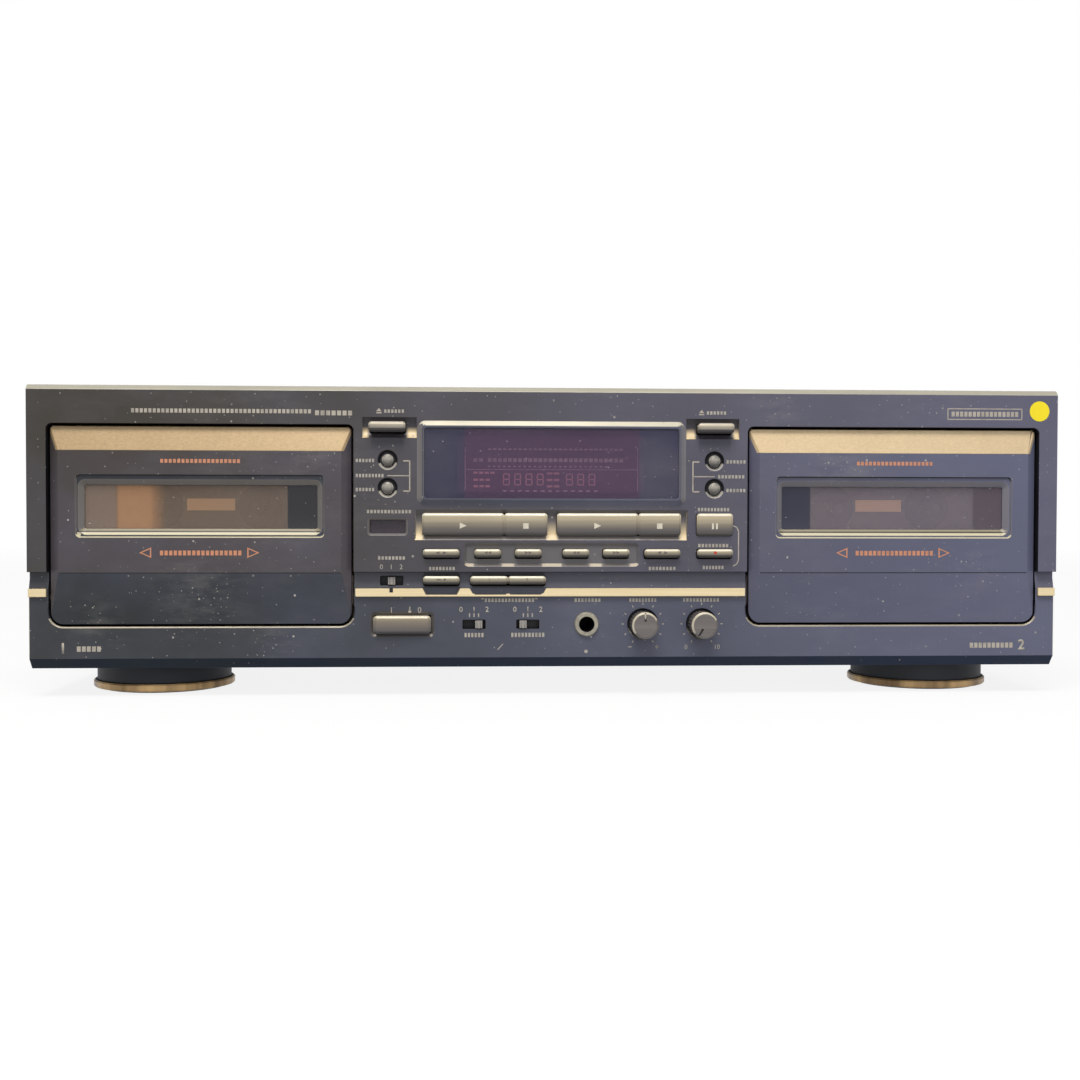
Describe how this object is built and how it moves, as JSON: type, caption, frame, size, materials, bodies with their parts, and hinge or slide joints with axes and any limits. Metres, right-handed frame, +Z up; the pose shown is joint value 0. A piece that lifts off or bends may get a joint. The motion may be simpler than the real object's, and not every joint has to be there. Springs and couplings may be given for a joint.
{
  "type": "double cassette deck",
  "caption": "Free-standing double cassette deck: two bottom-hinged cassette doors beside a central console with display, buttons, slide switches and knobs.",
  "frame": {"origin": "middle of the footprint on the surface that the feet rest on", "axes": "+X to the right as seen from the front, +Y from the front to the back, +Z up"},
  "size_m": [0.4374, 0.287, 0.1302],
  "materials": {
    "zinc_steel": "zinc plated sheet steel",
    "rear_steel": "dark grey textured paint",
    "black_steel": "black fine-textured paint",
    "front_plastic": "satin dark grey moulding",
    "gold_trim": "brushed pale gold anodising",
    "smoked_window": "smoked acrylic",
    "circuit_board": "green laminate",
    "transformer_iron": "varnished laminations and windings",
    "foot_plastic": "black moulding with a gold ring",
    "screw_steel": "black screw",
    "jack_metal": "satin nickel ring",
    "socket_metal": "black block with plated sleeves",
    "transport_steel": "dark plated sheet",
    "motor_steel": "plated can",
    "black_plastic": "black acetal",
    "capstan_steel": "ground steel",
    "button_plastic": "champagne grey metallic paint",
    "slider_plastic": "grey moulding",
    "knob_metal": "champagne grey knob"
  },
  "bodies": {
    "root": {"bottom_pan": "zinc_steel", "rear_panel": "rear_steel", "top_cover": "black_steel", "front_panel": "front_plastic", "trim_strip": "gold_trim", "front_windows": "smoked_window", "control_board": "circuit_board", "main_board": "circuit_board", "transformer": "transformer_iron", "feet": "foot_plastic", "case_screws": "screw_steel", "headphone_jack": "jack_metal", "rear_sockets": "socket_metal", "transport_plates": "transport_steel", "motor_drives": "motor_steel"},
    "door_a": {"door_a": "front_plastic", "door_bar_a": "gold_trim", "door_window_a": "smoked_window", "cassette_holder_a": "transport_steel"},
    "left_reel_a": {"left_reel_a": "black_plastic"},
    "right_reel_a": {"right_reel_a": "black_plastic"},
    "left_capstan_a": {"left_capstan_a": "capstan_steel"},
    "right_capstan_a": {"right_capstan_a": "capstan_steel"},
    "head_bridge_a": {"head_bridge_a": "zinc_steel"},
    "door_b": {"door_b": "front_plastic", "door_bar_b": "gold_trim", "door_window_b": "smoked_window", "cassette_holder_b": "transport_steel"},
    "left_reel_b": {"left_reel_b": "black_plastic"},
    "right_reel_b": {"right_reel_b": "black_plastic"},
    "left_capstan_b": {"left_capstan_b": "capstan_steel"},
    "right_capstan_b": {"right_capstan_b": "capstan_steel"},
    "head_bridge_b": {"head_bridge_b": "zinc_steel"},
    "eject_button_a": {"eject_button_a": "button_plastic"},
    "eject_button_b": {"eject_button_b": "button_plastic"},
    "counter_reset_a": {"counter_reset_a": "button_plastic"},
    "counter_reset_b": {"counter_reset_b": "button_plastic"},
    "counter_memory_a": {"counter_memory_a": "button_plastic"},
    "counter_memory_b": {"counter_memory_b": "button_plastic"},
    "play_button_a": {"play_button_a": "button_plastic"},
    "play_button_b": {"play_button_b": "button_plastic"},
    "stop_button_a": {"stop_button_a": "button_plastic"},
    "stop_button_b": {"stop_button_b": "button_plastic"},
    "record_pause_button": {"record_pause_button": "button_plastic"},
    "record_mute_button": {"record_mute_button": "button_plastic"},
    "direction_button_a": {"direction_button_a": "button_plastic"},
    "direction_button_b": {"direction_button_b": "button_plastic"},
    "rewind_button_a": {"rewind_button_a": "button_plastic"},
    "rewind_button_b": {"rewind_button_b": "button_plastic"},
    "forward_button_a": {"forward_button_a": "button_plastic"},
    "forward_button_b": {"forward_button_b": "button_plastic"},
    "relay_button": {"relay_button": "button_plastic"},
    "dubbing_normal_button": {"dubbing_normal_button": "button_plastic"},
    "dubbing_high_button": {"dubbing_high_button": "button_plastic"},
    "power_button": {"power_button": "button_plastic"},
    "noise_switch": {"noise_switch": "slider_plastic"},
    "timer_switch": {"timer_switch": "slider_plastic"},
    "reverse_switch": {"reverse_switch": "slider_plastic"},
    "bias_knob": {"bias_knob": "knob_metal"},
    "level_knob": {"level_knob": "knob_metal"}
  },
  "joints": [
    {"name": "door_a_hinge", "type": "hinge", "parent": "root", "child": "door_a", "pos_m": [-0.146, -0.1305, 0.042], "axis": [1, 0, 0], "range_deg": [0, 28]},
    {"name": "left_reel_a_spin", "type": "hinge", "parent": "root", "child": "left_reel_a", "pos_m": [-0.16725, -0.122, 0.08], "axis": [0, 1, 0], "continuous": true},
    {"name": "right_reel_a_spin", "type": "hinge", "parent": "root", "child": "right_reel_a", "pos_m": [-0.12475, -0.122, 0.08], "axis": [0, 1, 0], "continuous": true},
    {"name": "left_capstan_a_spin", "type": "hinge", "parent": "root", "child": "left_capstan_a", "pos_m": [-0.179, -0.122, 0.053], "axis": [0, 1, 0], "continuous": true},
    {"name": "right_capstan_a_spin", "type": "hinge", "parent": "root", "child": "right_capstan_a", "pos_m": [-0.113, -0.122, 0.053], "axis": [0, 1, 0], "continuous": true},
    {"name": "head_bridge_a_slide", "type": "slide", "parent": "root", "child": "head_bridge_a", "axis": [0, 0, 1], "range_m": [0, 0.008]},
    {"name": "door_b_hinge", "type": "hinge", "parent": "root", "child": "door_b", "pos_m": [0.146, -0.1305, 0.042], "axis": [1, 0, 0], "range_deg": [0, 28]},
    {"name": "left_reel_b_spin", "type": "hinge", "parent": "root", "child": "left_reel_b", "pos_m": [0.12475, -0.122, 0.08], "axis": [0, 1, 0], "continuous": true},
    {"name": "right_reel_b_spin", "type": "hinge", "parent": "root", "child": "right_reel_b", "pos_m": [0.16725, -0.122, 0.08], "axis": [0, 1, 0], "continuous": true},
    {"name": "left_capstan_b_spin", "type": "hinge", "parent": "root", "child": "left_capstan_b", "pos_m": [0.113, -0.122, 0.053], "axis": [0, 1, 0], "continuous": true},
    {"name": "right_capstan_b_spin", "type": "hinge", "parent": "root", "child": "right_capstan_b", "pos_m": [0.179, -0.122, 0.053], "axis": [0, 1, 0], "continuous": true},
    {"name": "head_bridge_b_slide", "type": "slide", "parent": "root", "child": "head_bridge_b", "axis": [0, 0, 1], "range_m": [0, 0.008]},
    {"name": "eject_button_a_press", "type": "slide", "parent": "root", "child": "eject_button_a", "axis": [0, 1, 0], "range_m": [0, 0.003], "stiffness_N_per_m": 300},
    {"name": "eject_button_b_press", "type": "slide", "parent": "root", "child": "eject_button_b", "axis": [0, 1, 0], "range_m": [0, 0.003], "stiffness_N_per_m": 300},
    {"name": "counter_reset_a_press", "type": "slide", "parent": "root", "child": "counter_reset_a", "axis": [0, 1, 0], "range_m": [0, 0.001], "stiffness_N_per_m": 600},
    {"name": "counter_reset_b_press", "type": "slide", "parent": "root", "child": "counter_reset_b", "axis": [0, 1, 0], "range_m": [0, 0.001], "stiffness_N_per_m": 600},
    {"name": "counter_memory_a_press", "type": "slide", "parent": "root", "child": "counter_memory_a", "axis": [0, 1, 0], "range_m": [0, 0.001], "stiffness_N_per_m": 600},
    {"name": "counter_memory_b_press", "type": "slide", "parent": "root", "child": "counter_memory_b", "axis": [0, 1, 0], "range_m": [0, 0.001], "stiffness_N_per_m": 600},
    {"name": "play_button_a_press", "type": "slide", "parent": "root", "child": "play_button_a", "axis": [0, 1, 0], "range_m": [0, 0.001], "stiffness_N_per_m": 600},
    {"name": "play_button_b_press", "type": "slide", "parent": "root", "child": "play_button_b", "axis": [0, 1, 0], "range_m": [0, 0.001], "stiffness_N_per_m": 600},
    {"name": "stop_button_a_press", "type": "slide", "parent": "root", "child": "stop_button_a", "axis": [0, 1, 0], "range_m": [0, 0.001], "stiffness_N_per_m": 600},
    {"name": "stop_button_b_press", "type": "slide", "parent": "root", "child": "stop_button_b", "axis": [0, 1, 0], "range_m": [0, 0.001], "stiffness_N_per_m": 600},
    {"name": "record_pause_button_press", "type": "slide", "parent": "root", "child": "record_pause_button", "axis": [0, 1, 0], "range_m": [0, 0.001], "stiffness_N_per_m": 600},
    {"name": "record_mute_button_press", "type": "slide", "parent": "root", "child": "record_mute_button", "axis": [0, 1, 0], "range_m": [0, 0.001], "stiffness_N_per_m": 600},
    {"name": "direction_button_a_press", "type": "slide", "parent": "root", "child": "direction_button_a", "axis": [0, 1, 0], "range_m": [0, 0.001], "stiffness_N_per_m": 600},
    {"name": "direction_button_b_press", "type": "slide", "parent": "root", "child": "direction_button_b", "axis": [0, 1, 0], "range_m": [0, 0.001], "stiffness_N_per_m": 600},
    {"name": "rewind_button_a_press", "type": "slide", "parent": "root", "child": "rewind_button_a", "axis": [0, 1, 0], "range_m": [0, 0.001], "stiffness_N_per_m": 600},
    {"name": "rewind_button_b_press", "type": "slide", "parent": "root", "child": "rewind_button_b", "axis": [0, 1, 0], "range_m": [0, 0.001], "stiffness_N_per_m": 600},
    {"name": "forward_button_a_press", "type": "slide", "parent": "root", "child": "forward_button_a", "axis": [0, 1, 0], "range_m": [0, 0.001], "stiffness_N_per_m": 600},
    {"name": "forward_button_b_press", "type": "slide", "parent": "root", "child": "forward_button_b", "axis": [0, 1, 0], "range_m": [0, 0.001], "stiffness_N_per_m": 600},
    {"name": "relay_button_press", "type": "slide", "parent": "root", "child": "relay_button", "axis": [0, 1, 0], "range_m": [0, 0.001], "stiffness_N_per_m": 600},
    {"name": "dubbing_normal_button_press", "type": "slide", "parent": "root", "child": "dubbing_normal_button", "axis": [0, 1, 0], "range_m": [0, 0.001], "stiffness_N_per_m": 600},
    {"name": "dubbing_high_button_press", "type": "slide", "parent": "root", "child": "dubbing_high_button", "axis": [0, 1, 0], "range_m": [0, 0.001], "stiffness_N_per_m": 600},
    {"name": "power_button_press", "type": "slide", "parent": "root", "child": "power_button", "axis": [0, 1, 0], "range_m": [0, 0.0035], "stiffness_N_per_m": 350},
    {"name": "noise_switch_slide", "type": "slide", "parent": "root", "child": "noise_switch", "axis": [1, 0, 0], "range_m": [-0.002, 0.002]},
    {"name": "timer_switch_slide", "type": "slide", "parent": "root", "child": "timer_switch", "axis": [1, 0, 0], "range_m": [-0.004, 0]},
    {"name": "reverse_switch_slide", "type": "slide", "parent": "root", "child": "reverse_switch", "axis": [1, 0, 0], "range_m": [0, 0.004]},
    {"name": "bias_knob_turn", "type": "hinge", "parent": "root", "child": "bias_knob", "pos_m": [0.0389, -0.137, 0.0305], "axis": [0, 1, 0], "range_deg": [-150, 150]},
    {"name": "level_knob_turn", "type": "hinge", "parent": "root", "child": "level_knob", "pos_m": [0.064, -0.137, 0.0305], "axis": [0, 1, 0], "range_deg": [0, 300]}
  ],
  "couplings": [
    {"joint": "left_capstan_a_spin", "follows": "right_capstan_a_spin", "ratio": -1},
    {"joint": "left_capstan_b_spin", "follows": "right_capstan_b_spin", "ratio": -1}
  ]
}
